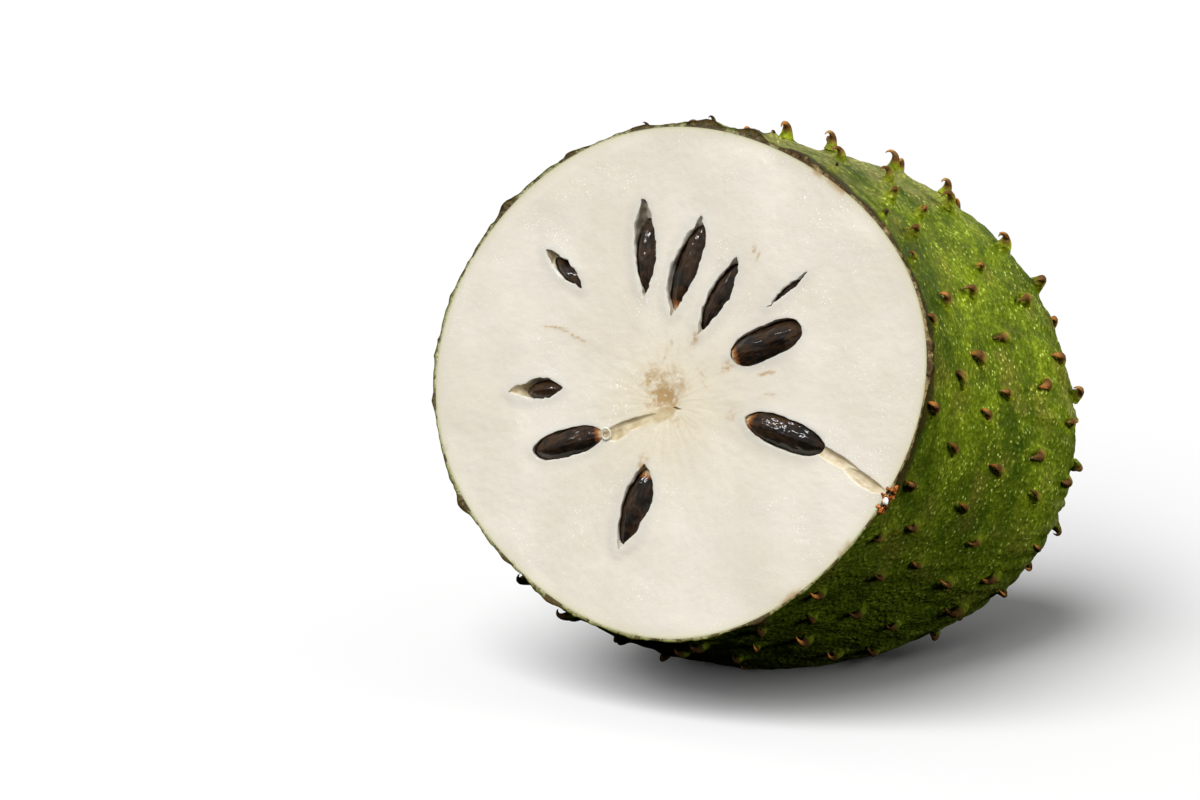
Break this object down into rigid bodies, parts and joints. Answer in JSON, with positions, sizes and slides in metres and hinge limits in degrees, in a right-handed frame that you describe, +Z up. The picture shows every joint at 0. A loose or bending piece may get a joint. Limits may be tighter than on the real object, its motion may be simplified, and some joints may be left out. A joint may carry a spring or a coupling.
{
  "type": "soursop cut across",
  "caption": "Larger part of a spiny green tropical fruit cut across, lying on its side with white flesh and dark seeds in open pockets.",
  "frame": {"origin": "middle of the bounding box on the ground it rests on", "axes": "+Z up, the cut face looks towards -Y and 17 degrees upwards, +X to the right across the cut face"},
  "size_m": [0.128, 0.1208, 0.1266],
  "materials": {
    "skin_green": "thin waxy fruit skin, finely pored, with brown hooked spines",
    "flesh_white": "moist creamy white pulp with a soft wet sheen",
    "seed_brown": "hard glossy seed coat, dark brown to black"
  },
  "bodies": {
    "root": {"skin": "skin_green", "flesh": "flesh_white", "seed_01": "seed_brown", "seed_02": "seed_brown", "seed_03": "seed_brown", "seed_04": "seed_brown", "seed_05": "seed_brown", "seed_06": "seed_brown", "seed_07": "seed_brown", "seed_08": "seed_brown", "seed_09": "seed_brown", "seed_10": "seed_brown"}
  },
  "joints": []
}
